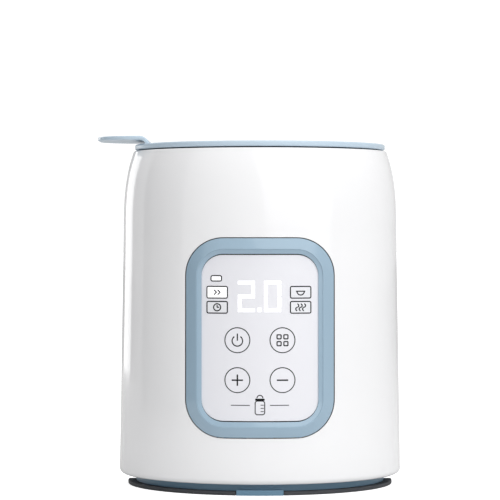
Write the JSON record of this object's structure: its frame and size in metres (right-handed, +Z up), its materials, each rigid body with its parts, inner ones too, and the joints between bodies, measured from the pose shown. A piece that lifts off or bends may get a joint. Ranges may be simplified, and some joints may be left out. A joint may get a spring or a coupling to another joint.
{
  "type": "bottle warmer",
  "caption": "Round counter-top baby-bottle warmer with a lift-out basket, side handle, push-key panel with display, heated water pot, base cover and rubber feet.",
  "frame": {"origin": "on the housing's axis, on the surface the foot pads rest on", "axes": "+Z up along the well, -Y towards the control panel, -X towards the basket's handle"},
  "size_m": [0.1397, 0.1308, 0.1598],
  "materials": {
    "housing_white": "gloss",
    "basket_blue": "satin gloss",
    "bezel_blue": "satin gloss",
    "base_blue": "satin",
    "fascia_pale": "satin",
    "key_pale": "satin",
    "window_white": "lit",
    "foot_rubber": "matt",
    "pot_coated": "non-stick coated",
    "seal_silicone": "matt",
    "screw_steel": "bright zinc",
    "heater_aluminium": "cast",
    "element_ceramic": "insulating film",
    "sensor_dark": "moulded",
    "guide_clear": "clear",
    "board_green": "solder mask",
    "component_dark": "moulded",
    "transformer_yellow": "taped winding",
    "relay_blue": "moulded",
    "lead_cream": "sleeved lead",
    "lead_brown": "sleeved lead",
    "ribbon_grey": "ribbon"
  },
  "bodies": {
    "housing": {"outer_housing": "housing_white", "water_pot": "pot_coated", "pot_seal": "seal_silicone", "pot_screws": "screw_steel", "heater_plate": "heater_aluminium", "heater_element": "element_ceramic", "heater_clamp": "screw_steel", "clamp_screws": "screw_steel", "thermal_fuse": "lead_cream", "temperature_sensor": "sensor_dark", "panel_bezel": "bezel_blue", "panel_fascia": "fascia_pale", "indicator_windows": "window_white", "light_guides": "guide_clear", "display_module": "component_dark", "control_board": "board_green", "tact_switches": "component_dark", "control_board_screws": "screw_steel", "power_board": "board_green", "transformer": "transformer_yellow", "relay": "relay_blue", "filter_capacitor": "component_dark", "board_fuse": "guide_clear", "power_board_screws": "screw_steel", "power_inlet": "component_dark", "inlet_pins": "screw_steel", "heater_leads": "lead_cream", "inlet_leads": "lead_brown", "ribbon_lead": "ribbon_grey", "base_cover": "base_blue", "foot_pads": "foot_rubber", "base_screws": "screw_steel"},
    "basket": {"lift_basket": "basket_blue"},
    "key_power_body": {"key_power": "key_pale"},
    "key_mode_body": {"key_mode": "key_pale"},
    "key_plus_body": {"key_plus": "key_pale"},
    "key_minus_body": {"key_minus": "key_pale"}
  },
  "joints": [
    {"name": "basket_lift", "type": "slide", "parent": "housing", "child": "basket", "axis": [0, 0, 1], "range_m": [0, 0.13]},
    {"name": "key_power_press", "type": "slide", "parent": "housing", "child": "key_power_body", "axis": [0, 1, 0], "range_m": [0, 0.0007], "stiffness_N_per_m": 600},
    {"name": "key_mode_press", "type": "slide", "parent": "housing", "child": "key_mode_body", "axis": [0, 1, 0], "range_m": [0, 0.0007], "stiffness_N_per_m": 600},
    {"name": "key_plus_press", "type": "slide", "parent": "housing", "child": "key_plus_body", "axis": [0, 1, 0], "range_m": [0, 0.0007], "stiffness_N_per_m": 600},
    {"name": "key_minus_press", "type": "slide", "parent": "housing", "child": "key_minus_body", "axis": [0, 1, 0], "range_m": [0, 0.0007], "stiffness_N_per_m": 600}
  ]
}
